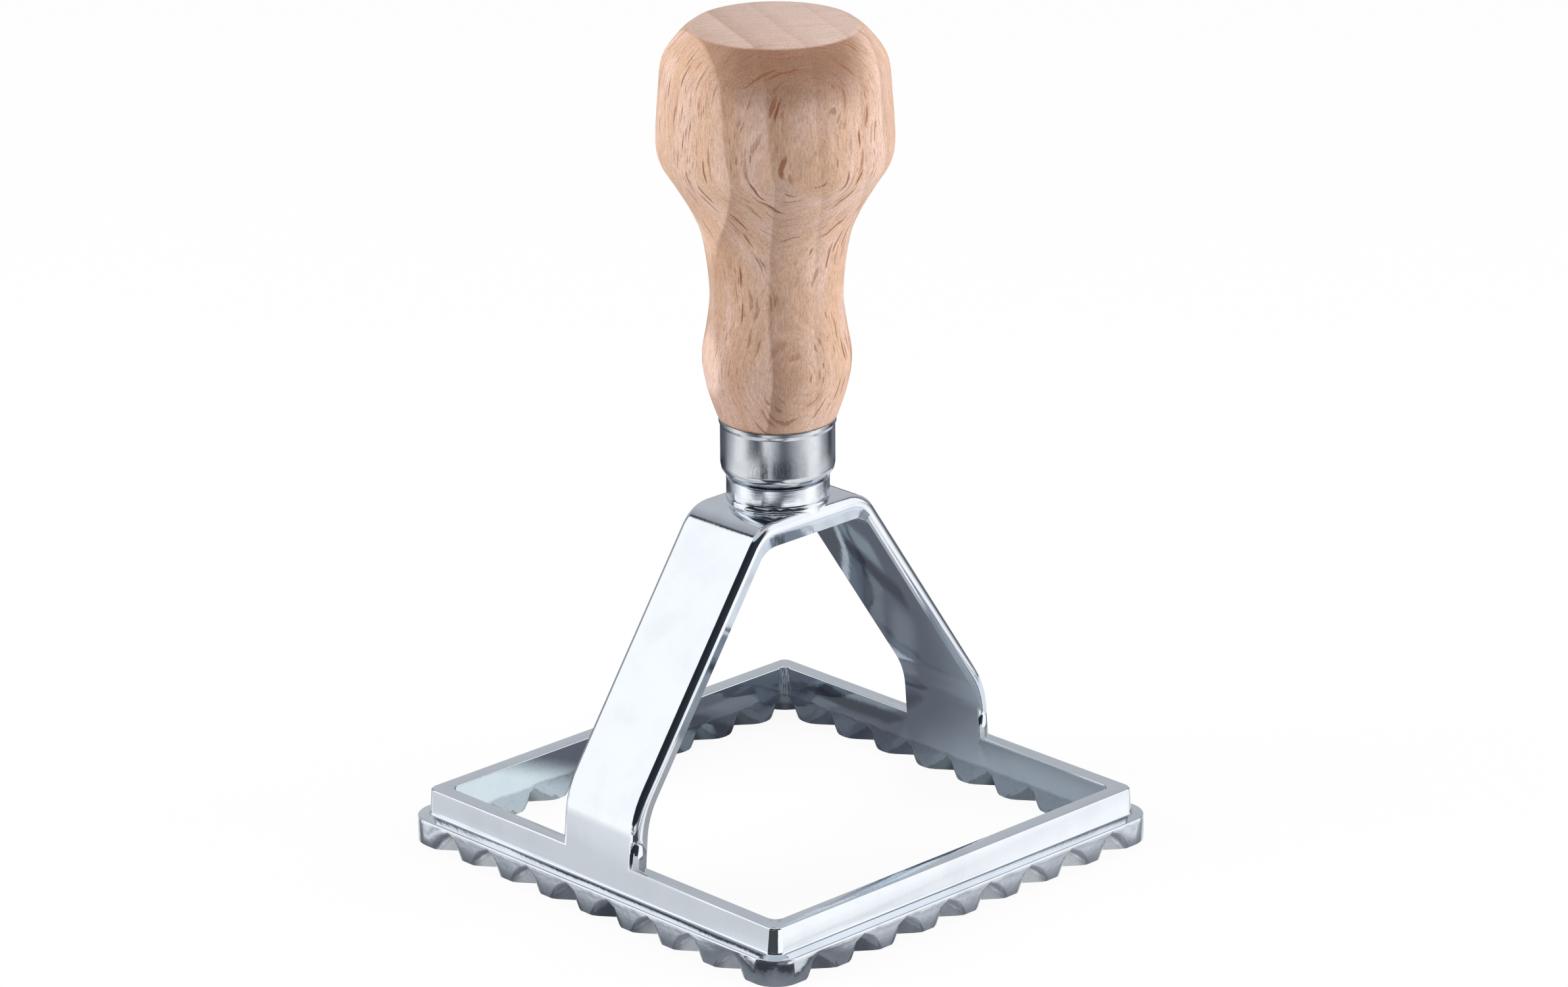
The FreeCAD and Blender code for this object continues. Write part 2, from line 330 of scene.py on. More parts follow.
class Nodes:
    """Short way to add and join the nodes of one tree"""

    def __init__(self, tree):
        self.tree = tree

    def add(self, kind, settings=None, **inputs):
        """Node of a kind with its settings; inputs hold values or output sockets"""
        node = self.tree.nodes.new(kind)
        for name, value in (settings or {}).items():
            setattr(node, name, value)
        for name, value in inputs.items():
            self.feed(node, name.replace("_", " "), value)
        return node

    def feed(self, node, name, value):
        """Sets or links one input by its name or number"""
        socket = node.inputs[name]
        if isinstance(value, bpy.types.NodeSocket):
            self.tree.links.new(value, socket)
        else:
            socket.default_value = value

    def show(self, kind, shader):
        """Output node of a kind, fed with a shader"""
        self.feed(self.tree.nodes.new(kind), "Surface", shader.outputs[0])

    def math(self, operation, first, second=0.0, third=0.0):
        """Result of a math node"""
        node = self.tree.nodes.new("ShaderNodeMath")
        node.operation = operation
        for number, value in enumerate((first, second, third)):
            self.feed(node, number, value)
        return node.outputs[0]

    def times(self, first, second):
        """Product of two values"""
        return self.math("MULTIPLY", first, second)

    def length(self, first, second):
        """Length of the diagonal over two values"""
        return self.math("SQRT", self.math("ADD", self.times(first, first), self.times(second, second)))

    def blend(self, share, first, second, mode="MIX"):
        """Mix of two colours"""
        node = self.tree.nodes.new("ShaderNodeMix")
        node.data_type = "RGBA"
        node.blend_type = mode
        for number, value in ((0, share), (6, first), (7, second)):
            self.feed(node, number, value)
        return node.outputs[2]

    def spread(self, value, low, high, new_low=0.0, new_high=1.0):
        """Value mapped from one range to another, smoothly and clamped"""
        node = self.tree.nodes.new("ShaderNodeMapRange")
        node.interpolation_type = "SMOOTHSTEP"
        for name, entry in (
            ("Value", value),
            ("From Min", low),
            ("From Max", high),
            ("To Min", new_low),
            ("To Max", new_high),
        ):
            self.feed(node, name, entry)
        return node.outputs["Result"]

    def window(self, value, low, high, soft):
        """1 between two places and 0 outside them, with soft ends"""
        return self.times(
            self.spread(value, low - soft, low + soft), self.spread(value, high + soft, high - soft)
        )

    def ramp(self, value, stops):
        """Brightness along a value, cool in its dark parts, from pairs of place and level"""
        node = self.tree.nodes.new("ShaderNodeValToRGB")
        self.feed(node, "Fac", value)
        elements = node.color_ramp.elements
        while len(elements) > 1:
            elements.remove(elements[-1])
        for index, (spot, level) in enumerate(stops):
            element = elements[0] if index == 0 else elements.new(spot)
            element.position = spot
            element.color = (level ** COOL_RED, level, level ** COOL_BLUE, 1)
        return node.outputs["Color"]

    def noise(self, place, scale, detail=2.0, rough=0.5):
        """Value of a noise texture"""
        node = self.add("ShaderNodeTexNoise", None, Vector=place, Scale=scale, Detail=detail, Roughness=rough)
        return node.outputs["Fac"]

    def bump(self, height):
        """Normal from a height in millimetres"""
        return self.add("ShaderNodeBump", None, Strength=1.0, Distance=MILLIMETRE, Height=height).outputs[0]

    def place(self, size=(1, 1, 1), turn=(0, 0, 0), shift=(0, 0, 0)):
        """Object coordinates, turned and stretched"""
        source = self.tree.nodes.new("ShaderNodeTexCoord")
        return self.mapped(source.outputs["Object"], size, turn, shift)

    def mapped(self, vector, size=(1, 1, 1), turn=(0, 0, 0), shift=(0, 0, 0)):
        """Vector passed through a Mapping node"""
        node = self.tree.nodes.new("ShaderNodeMapping")
        self.tree.links.new(vector, node.inputs["Vector"])
        node.inputs["Scale"].default_value = size
        node.inputs["Rotation"].default_value = turn
        node.inputs["Location"].default_value = shift
        return node.outputs["Vector"]


def colour(values, share=1.0):
    """Colour with full alpha, at a share of its brightness"""
    return (*(part * share for part in values), 1.0)


def bare_tree(owner):
    """Node helper for a material or world whose tree is emptied"""
    owner.use_nodes = True
    owner.node_tree.nodes.clear()
    return Nodes(owner.node_tree)


def new_material(name):
    """Empty material with a Principled shader"""
    material = bpy.data.materials.new(name)
    material.use_nodes = True
    nodes = Nodes(material.node_tree)
    shader = material.node_tree.nodes["Principled BSDF"]
    return material, nodes, shader


def new_group(name, inputs, outputs):
    """Shader node group with named sockets"""
    tree = bpy.data.node_groups.new(name, "ShaderNodeTree")
    for label, kind, default in inputs:
        socket = tree.interface.new_socket(label, in_out="INPUT", socket_type=kind)
        if default is not None:
            socket.default_value = default
    for label, kind in outputs:
        tree.interface.new_socket(label, in_out="OUTPUT", socket_type=kind)
    nodes = Nodes(tree)
    source = tree.nodes.new("NodeGroupInput")
    target = tree.nodes.new("NodeGroupOutput")
    return tree, nodes, source.outputs, target


def polish_group():
    """Soft waves and fine scratches that both metals share"""
    if "Hand polish" in bpy.data.node_groups:
        return bpy.data.node_groups["Hand polish"]
    tree, nodes, given, target = new_group(
        "Hand polish",
        (
            ("Place", "NodeSocketVector", None),
            ("Wave size", "NodeSocketFloat", 0.09),
            ("Wave height", "NodeSocketFloat", 0.1),
            ("Scratch size", "NodeSocketFloat", 1.0),
            ("Scratch height", "NodeSocketFloat", 0.01),
        ),
        (("Height", "NodeSocketFloat"), ("Streak", "NodeSocketFloat")),
    )
    waves = nodes.noise(given["Place"], given["Wave size"], 1.0, 0.4)
    scratches = nodes.noise(given["Place"], given["Scratch size"], 3.0, 0.6)
    tall = nodes.times(waves, given["Wave height"])
    fine = nodes.times(scratches, given["Scratch height"])
    nodes.tree.links.new(nodes.math("ADD", tall, fine), target.inputs["Height"])
    nodes.tree.links.new(nodes.spread(scratches, 0.42, 0.66), target.inputs["Streak"])
    return tree


def zinc_material(colours):
    """Plated casting: mirror bright on the flats, satin and grey on the teeth"""
    material, nodes, shader = new_material("plated_zinc")
    place = nodes.place(PER_MM)
    polish = nodes.add(
        "ShaderNodeGroup",
        {"node_tree": polish_group()},
        Place=nodes.mapped(place, (1.0, 1.0, 0.35)),
        Wave_size=0.07,
        Wave_height=0.14,
        Scratch_size=1.5,
        Scratch_height=0.008,
    )
    axes = nodes.add("ShaderNodeSeparateXYZ", None, Vector=place)
    clouds = nodes.noise(place, 0.19, 3.0, 0.55)
    pits = nodes.noise(place, 2.0, 3.0, 0.62)

    # the teeth were not polished after casting
    wobble = nodes.noise(place, 0.3, 2.0)
    height = nodes.math("MULTIPLY_ADD", wobble, 0.9, axes.outputs["Z"])
    teeth = nodes.spread(height, *TEETH_FADE)
    stain = nodes.times(nodes.spread(nodes.noise(place, 0.8, 4.0, 0.6), 0.42, 0.66), teeth)
    pitted = nodes.times(nodes.spread(pits, 0.60, 0.70), teeth)
    dull = colour(colours.zinc, 0.84)
    tone = nodes.blend(nodes.spread(clouds, 0.40, 0.75, 0.0, 0.30), colour(colours.zinc), dull)
    tone = nodes.blend(teeth, tone, colour(colours.zinc_teeth))
    tone = nodes.blend(nodes.times(stain, 0.15), tone, colour(colours.zinc_teeth, 0.5))
    tone = nodes.blend(nodes.times(pitted, 0.22), tone, PIT_COLOUR)
    rough = nodes.spread(clouds, 0.3, 0.8, 0.045, 0.10)
    rough = nodes.math("MULTIPLY_ADD", teeth, 0.10, rough)

    # turning lines on the collar
    outward = nodes.length(axes.outputs["X"], axes.outputs["Y"])
    above = nodes.spread(axes.outputs["Z"], BRIDGE_TOP, BRIDGE_TOP + 0.2)
    collar = nodes.times(nodes.spread(outward, *COLLAR_FADE), above)
    lines = nodes.noise(nodes.mapped(place, (0.05, 0.05, 5.0)), 1.0, 3.0, 0.7)
    lines = nodes.times(nodes.times(lines, 0.022), collar)
    coarse = nodes.times(nodes.times(nodes.noise(place, 0.75, 3.0, 0.55), 0.05), teeth)
    relief = nodes.math("ADD", nodes.math("ADD", polish.outputs["Height"], lines), coarse)
    nodes.feed(shader, "Base Color", tone)
    nodes.feed(shader, "Metallic", 1.0)
    nodes.feed(shader, "Roughness", rough)
    nodes.feed(shader, "Normal", nodes.bump(relief))
    return material


def steel_material(colours):
    """Drawn steel with a satin grain around the cup"""
    material, nodes, shader = new_material("drawn_steel")
    place = nodes.place(PER_MM)
    polish = nodes.add(
        "ShaderNodeGroup",
        {"node_tree": polish_group()},
        Place=nodes.mapped(place, (1.0, 1.0, 0.25)),
        Wave_size=0.16,
        Wave_height=0.03,
        Scratch_size=5.0,
        Scratch_height=0.004,
    )
    clouds = nodes.noise(place, 0.5, 4.0, 0.62)
    specks = nodes.noise(place, 5.0, 3.0, 0.6)
    dull = colour(colours.steel, 0.7)
    tone = nodes.blend(nodes.spread(clouds, 0.40, 0.72, 0.0, 0.35), colour(colours.steel), dull)
    tone = nodes.blend(nodes.spread(specks, 0.56, 0.72, 0.0, 0.35), tone, dull)
    rough = nodes.spread(polish.outputs["Streak"], 0.0, 1.0, 0.09, 0.14)
    nodes.feed(shader, "Base Color", tone)
    nodes.feed(shader, "Metallic", 1.0)
    nodes.feed(shader, "Roughness", rough)
    nodes.feed(shader, "Normal", nodes.bump(polish.outputs["Height"]))
    return material


def flecks(nodes, place, cell, share, size):
    """Thin plates in space, one to a cell, shown in a share of the cells"""
    space = nodes.mapped(place, [1 / side for side in cell])
    cells = nodes.add("ShaderNodeTexVoronoi", {"feature": "F1"}, Vector=space, Scale=1.0, Randomness=1.0)
    picks = nodes.add("ShaderNodeSeparateColor", None, Color=cells.outputs["Color"])
    shape = nodes.spread(cells.outputs["Distance"], size, size * 0.6)
    shown = nodes.spread(picks.outputs[0], 1 - share, 1 - share + 0.04)
    depth = nodes.spread(picks.outputs[1], 0.0, 1.0, 0.35, 1.0)
    return nodes.times(nodes.times(shape, shown), depth)


def beech_material(colours):
    """Beech with growth bands, ray flecks, fibres and pores, all solid in space"""
    material, nodes, shader = new_material("turned_beech")
    bands = nodes.place(PER_MM, (0, 0, BAND_TURN))
    rays = nodes.place(PER_MM, (0, 0, RAY_TURN))
    across = nodes.add("ShaderNodeSeparateXYZ", None, Vector=bands)
    along = nodes.add("ShaderNodeSeparateXYZ", None, Vector=rays)

    # both families of planes wander a little on their way up the handle
    sway = nodes.noise(nodes.mapped(bands, (1, 1, 0.25)), 0.07, 1.0, 0.4)
    drift = nodes.noise(nodes.mapped(rays, (1, 1, 0.6)), 0.09, 2.0, 0.5)
    ripple = nodes.noise(nodes.mapped(rays, (1, 1, 0.4), shift=(7.0, 3.0, 0.0)), 0.6, 2.0, 0.5)
    shift = nodes.math("MULTIPLY_ADD", nodes.math("SUBTRACT", drift, 0.5), 3.4, along.outputs["Y"])
    shift = nodes.math("MULTIPLY_ADD", nodes.math("SUBTRACT", ripple, 0.5), 0.5, shift)
    bent = nodes.add("ShaderNodeCombineXYZ", None, X=along.outputs["X"], Y=shift, Z=along.outputs["Z"]).outputs[0]

    # growth bands: a crisp edge, dark on its right and fading on, that leans below the knob
    rise = along.outputs["Z"]
    spot = nodes.math("MULTIPLY_ADD", nodes.math("SUBTRACT", sway, 0.5), 1.2, across.outputs["X"])
    spot = nodes.math("SUBTRACT", spot, nodes.spread(rise, *LEAN_SPAN, *BAND_SHIFT))
    spot = nodes.math("MULTIPLY_ADD", spot, 1 / (2 * BAND_REACH), 0.5)
    band = nodes.ramp(spot, [((place + BAND_REACH) / (2 * BAND_REACH), level) for place, level in BANDS])
    worn = nodes.spread(nodes.noise(nodes.mapped(bands, (1, 1, 0.3)), 0.10, 2.0), 0.3, 0.7, 0.45, 1.0)

    # the end grain on the shoulder below the knob is darkened on the side that faces the camera, partly because it
    # takes up more oil and partly as painted shade; the flat top was sanded back
    middle = nodes.spread(nodes.math("ABSOLUTE", along.outputs["X"]), *SHOULDER_OIL_AND_SHADE_WIDTH)
    shoulder_oil_and_shade = nodes.times(nodes.spread(rise, *SHOULDER_OIL_AND_SHADE_SPAN), middle)
    disc = nodes.spread(rise, *DISC_SPAN)
    shoulder_oil_and_shade = nodes.times(shoulder_oil_and_shade, nodes.math("SUBTRACT", 1.0, disc))

    large = flecks(nodes, bent, (11.0, 0.42, 6.0), 0.62, 0.33)
    small = flecks(nodes, bent, (6.0, 0.26, 2.4), 0.50, 0.32)
    streak = nodes.noise(nodes.mapped(bent, (0.30, 4.2, 0.42)), 1.0, 2.0, 0.55)
    fibre = nodes.noise(nodes.mapped(bands, (6.0, 6.0, 0.8)), 1.0, 2.0, 0.6)
    pores = nodes.noise(nodes.mapped(rays, (8.0, 8.0, 3.0)), 1.0, 1.0, 0.6)
    cloud = nodes.noise(nodes.mapped(bands, (1, 1, 0.25)), 0.13, 3.0, 0.55)
    pink = nodes.noise(nodes.mapped(bent, (0.4, 1.0, 0.12)), 0.45, 2.0, 0.55)

    dark = colour(colours.beech_band_and_shade)
    fleck = colour(colours.fleck)
    tone = nodes.blend(nodes.spread(pink, 0.38, 0.64), colour(colours.beech), colour(colours.beech_pale))
    tone = nodes.blend(nodes.spread(cloud, 0.45, 0.72, 0.0, 0.5), tone, colour(colours.beech_warm))
    # the shoulder's oil and painted shade deepen the bands and darken the wood
    share = nodes.times(nodes.times(band, worn), nodes.spread(shoulder_oil_and_shade, 0.0, 1.0, 0.85, 1.0))
    tone = nodes.blend(share, tone, dark)
    tone = nodes.blend(nodes.times(shoulder_oil_and_shade, 0.92), tone, dark)
    sanded = nodes.blend(nodes.times(band, 0.40), colour(colours.beech_disc), dark)
    tone = nodes.blend(nodes.times(disc, 0.85), tone, sanded)
    bare = nodes.math("MULTIPLY_ADD", disc, -0.8, 1.0)
    tone = nodes.blend(nodes.times(nodes.times(large, 0.95), bare), tone, fleck)
    tone = nodes.blend(nodes.times(nodes.times(small, 0.70), bare), tone, fleck)
    shade = nodes.times(nodes.spread(streak, 0.28, 0.72, 0.92, 1.07), nodes.spread(fibre, 0.3, 0.7, 0.86, 1.11))
    shade = nodes.times(shade, nodes.spread(pores, 0.54, 0.72, 1.0, 0.72))
    shade_tone = nodes.add("ShaderNodeCombineColor", None, Red=shade, Green=shade, Blue=shade)
    tone = nodes.blend(1.0, tone, shade_tone.outputs[0], "MULTIPLY")

    relief = nodes.math("ADD", nodes.times(fibre, 0.020), nodes.times(pores, -0.016))
    relief = nodes.math("MULTIPLY_ADD", large, -0.015, relief)
    nodes.feed(shader, "Base Color", tone)
    nodes.feed(shader, "Roughness", nodes.spread(fibre, 0.2, 0.8, 0.5, 0.62))
    nodes.feed(shader, "Specular IOR Level", 0.3)
    nodes.feed(shader, "Normal", nodes.bump(relief))
    return material


# Pieces


class STAMP_OT_frame(bpy.types.Operator):
    """Shows the cast frame with smooth shading and its plated finish"""

    bl_idname = "stamp.frame"
    bl_label = "Cast frame"

    def execute(self, context):
        builder = bmesh.new()
        builder.from_mesh(frame["nodes"]["stamp_frame"].data)
        bmesh.ops.remove_doubles(builder, verts=builder.verts, dist=MERGE_DISTANCE)
        piece = link_piece("cast_frame", builder)
        shade_evenly(piece, context.scene.stamp_sizes.metal_angle)
        dress(piece, zinc_material(context.scene.stamp_colours), "stamp_frame")
        return {"FINISHED"}


class STAMP_OT_ferrule(bpy.types.Operator):
    """Turns the steel cup with its rounded lower edge, lip and hole"""

    bl_idname = "stamp.ferrule"
    bl_label = "Ferrule"

    def execute(self, context):
        sizes = context.scene.stamp_sizes
        lip = ferrule_high.x
        top = ferrule_high.z
        low = ferrule_low.z
        side = lip - sizes.lip_width
        inner = side - sizes.sheet
        floor = low + sizes.sheet
        corners = [
            (sizes.tang_hole, low, 0.0),
            (side, low, sizes.ferrule_corner),
            (side, top - sizes.lip_height * 1.8, sizes.lip_height),
            (lip, top - sizes.lip_height, sizes.lip_width * 0.4),
            (lip, top, sizes.lip_width * 0.8),
            (inner, top, sizes.lip_width * 0.4),
            (inner, floor, sizes.ferrule_corner - sizes.sheet),
            (sizes.tang_hole, floor, 0.0),
        ]
        outline = rounded([Vector((x, 0, z)) for x, z, _ in corners], [radius for _, _, radius in corners])
        piece = link_piece("ferrule_cup", turned(outline, sizes.turn_steps, True))
        shade_evenly(piece, sizes.metal_angle)
        dress(piece, steel_material(context.scene.stamp_colours), "ferrule")
        return {"FINISHED"}


class STAMP_OT_handle(bpy.types.Operator):
    """Turns the beech handle with its flat top"""

    bl_idname = "stamp.handle"
    bl_label = "Handle"

    def execute(self, context):
        sizes = context.scene.stamp_sizes
        seat = ferrule_high.z
        stations = [Vector((radius, 0, rise)) * MILLIMETRE for radius, rise in HANDLE_OUTLINE]
        stations = [station + Vector((0, 0, seat)) for station in stations]
        skin = smooth_chain(stations, sizes.span_steps)
        low, high = skin[0], skin[-1]
        ahead = (high - skin[-2]).normalized()
        outline = [
            Vector((0, 0, low.z)),
            Vector((low.x - sizes.seat_round, 0, low.z)),
            Vector((low.x, 0, low.z + sizes.seat_round)),
            *skin[1:-1],
            high - ahead * sizes.disc_round * 0.5,
            Vector((high.x - sizes.disc_round * 0.5, 0, high.z)),
            Vector((0, 0, high.z)),
        ]
        piece = link_piece("beech_handle", turned(outline, sizes.turn_steps, False))
        piece.data.set_sharp_from_angle(angle=sizes.wood_angle)
        dress(piece, beech_material(context.scene.stamp_colours), "handle")
        return {"FINISHED"}


# Stage


def glossy_only(card):
    """Card that only shows in reflections"""
    card.visible_camera = False
    card.visible_diffuse = False
    card.visible_transmission = False
    card.visible_volume_scatter = False
    card.visible_shadow = False


def glow_material(name, brightness):
    """Material of plain light, whose brightness comes from a function of its nodes and places"""
    material = bpy.data.materials.new(name)
    nodes = bare_tree(material)
    axes = nodes.add("ShaderNodeSeparateXYZ", None, Vector=nodes.place())
    tone = brightness(nodes, axes)
    nodes.show("ShaderNodeOutputMaterial", nodes.add("ShaderNodeEmission", None, Color=tone))
    return material


# Sizes of the floor, of the tent around the stamp and of the card that stands for the floor in reflections
FLOOR_HALF = 3.0
STAGE_SIDES = 96
TENT_RADIUS = 1.1
TENT_HEIGHT = 1.6
TENT_SINK = 0.02
TENT_TOP = (1.35, 1.55)
CARD_RADIUS = 1.11
CARD_DEPTH = MILLIMETRE * 0.3

# Colours of the stage, as brightness
WHITE = (1, 1, 1, 1)
FLOOR_SHADE = (0.82, 0.82, 0.82, 1)
FLOOR_GLOW = 0.93
TENT_TOP_SHADE = (0.60, 0.63, 0.66, 1)
RIGHT_SHADE = (0.82, 0.86, 0.91, 1)
FOOT_SHADE = (0.06, 0.065, 0.075, 1)
INNER_SHADE = (0.125, 0.138, 0.165, 1)

# Brightness of the tent by the angle from the camera, in degrees, seen from above
AROUND_UPPER = (
    (-180, 0.52), (-165, 0.55), (-146, 0.52), (-130, 0.42), (-120, 0.36), (-116, 0.05), (-112.5, 0.03), (-110, 1.12),
    (-80, 1.12), (-72, 0.03), (-30, 0.02), (0, 0.03), (60, 0.04), (74, 1.10), (110, 1.10), (118, 0.12), (146, 0.50),
    (165, 0.50), (180, 0.52),
)
# Brightness of the ring of floor that shows in the collar, by the same angle
AROUND_COLLAR = (
    (-180, 0.05), (-145, 0.04), (-130, 0.12), (-116, 0.54), (-99, 1.10), (-48, 1.10), (-38, 0.90), (-33, 0.30),
    (-30, 0.01), (-22, 0.01), (-19, 0.50), (-15, 0.60), (-11, 0.30), (-7, 0.06), (22, 0.07), (34, 0.36), (45, 0.58),
    (56, 0.66), (66, 1.12), (82, 1.15), (94, 1.0), (111, 0.78), (131, 0.30), (150, 0.12), (180, 0.06),
)
# Brightness of the rest of the floor, which shows in the ferrule, by the same angle
AROUND_FERRULE = (
    (-180, 0.10), (-150, 0.11), (-128, 0.18), (-112, 0.48), (-99, 0.76), (-88, 1.12), (-78, 1.16), (-68, 1.0),
    (-57, 0.40), (-49, 0.20), (-40, 0.12), (-33, 0.30), (-25, 1.0), (-16, 0.90), (-8, 0.68), (0, 0.42), (7, 0.24),
    (15, 0.20), (31, 0.48), (47, 0.80), (56, 1.0), (70, 1.28), (80, 1.28), (88, 1.10), (97, 0.66), (110, 0.36),
    (125, 0.06), (145, 0.24), (180, 0.10),
)
# Brightness of the floor beside the front walls and at their corner, by the distance from them in parts of 100 mm
NEAR_LEFT = (
    (0.0, 0.20), (0.02, 0.34), (0.038, 0.60), (0.049, 0.92), (0.057, 1.14), (0.074, 1.14), (0.086, 0.92),
    (0.098, 0.80), (0.112, 0.74), (0.135, 0.69), (0.20, 0.70), (0.26, 0.80), (0.38, 0.95), (0.52, 1.10),
)
NEAR_RIGHT = (
    (0.0, 0.32), (0.02, 0.50), (0.038, 0.80), (0.05, 1.0), (0.06, 1.16), (0.092, 1.14), (0.106, 0.94),
    (0.116, 1.04), (0.128, 0.84), (0.15, 1.0), (0.24, 1.12), (0.52, 1.15),
)
NEAR_CORNER = ((0.0, 0.34), (0.04, 0.28), (0.06, 0.05), (0.09, 0.07), (0.15, 0.28))
WALL_LINE = 0.037
NEAR_SPAN = 0.1

# Borders of the zones of the floor: a pair gives where a zone begins and where it is full
COLLAR_INNER = (0.134, 0.140)
COLLAR_OUTER = (0.1595, 0.1565)
FRONT_HALVES = (-0.002, 0.002)
NEAR_OUTER = (0.125, 0.095)
NEAR_INNER = (-0.0360, -0.0372)
RIGHT_INNER = (0.0372, 0.0400)
RIGHT_OUTER = (0.125, 0.110)
RIGHT_FRONT = (-0.0372, -0.0350)
CORNER_SIDES = (0.025, 0.018)
FOOT_X = (-0.0465, -0.0485)
FOOT_Y = (-0.015, -0.019)
RING_INSIDE = (0.0345, 0.0335)

# Zones of the floor inside the ring, each of which shows in one wall or arm: lowest and highest X, lowest and
# highest Y, softness of the border and colour
INNER_ZONES = (
    (0.014, 0.050, -0.050, 0.006, 0.012, (0.33, 0.37, 0.41, 1)),
    (-0.050, -0.006, 0.009, 0.050, 0.006, (0.80, 0.88, 0.89, 1)),
    (0.012, 0.0185, 0.0245, 0.050, 0.0015, (0.24, 0.28, 0.30, 1)),
    (0.0205, 0.050, 0.0295, 0.050, 0.001, (0.17, 0.19, 0.21, 1)),
    (0.0262, 0.050, 0.0205, 0.027, 0.0020, (0.18, 0.20, 0.23, 1)),
    (0.0190, 0.0238, 0.0200, 0.0345, 0.0010, (0.075, 0.08, 0.095, 1)),
    (-0.050, 0.014, -0.050, -0.008, 0.002, (1.0, 1.0, 1.0, 1)),
)

# Lamps: name, then how far each is to the right of, above and towards the camera from the target, its width and watts
LAMP_TARGET = (0, 0, 0.07)
LAMPS = (
    ("left", -0.85, 0.30, 0.16, 0.55, 7.5),
    ("right", 0.88, 0.24, 0.16, 0.55, 8.0),
    ("top", 0.0, 0.95, -0.25, 0.6, 3.5),
)


def by_angle(nodes, axes, studio, levels):
    """Brightness by the turn about the upright, measured from the camera"""
    angle = nodes.math("ARCTAN2", axes.outputs["Y"], axes.outputs["X"])
    camera_side = studio.azimuth - math.pi / 2
    from_camera = nodes.math("SUBTRACT", angle, camera_side)
    wrapped = nodes.math("WRAP", from_camera, math.pi, -math.pi)
    share = nodes.math("MULTIPLY_ADD", wrapped, 1 / math.tau, 0.5)
    return nodes.ramp(share, [((turn + 180) / 360, level) for turn, level in levels])


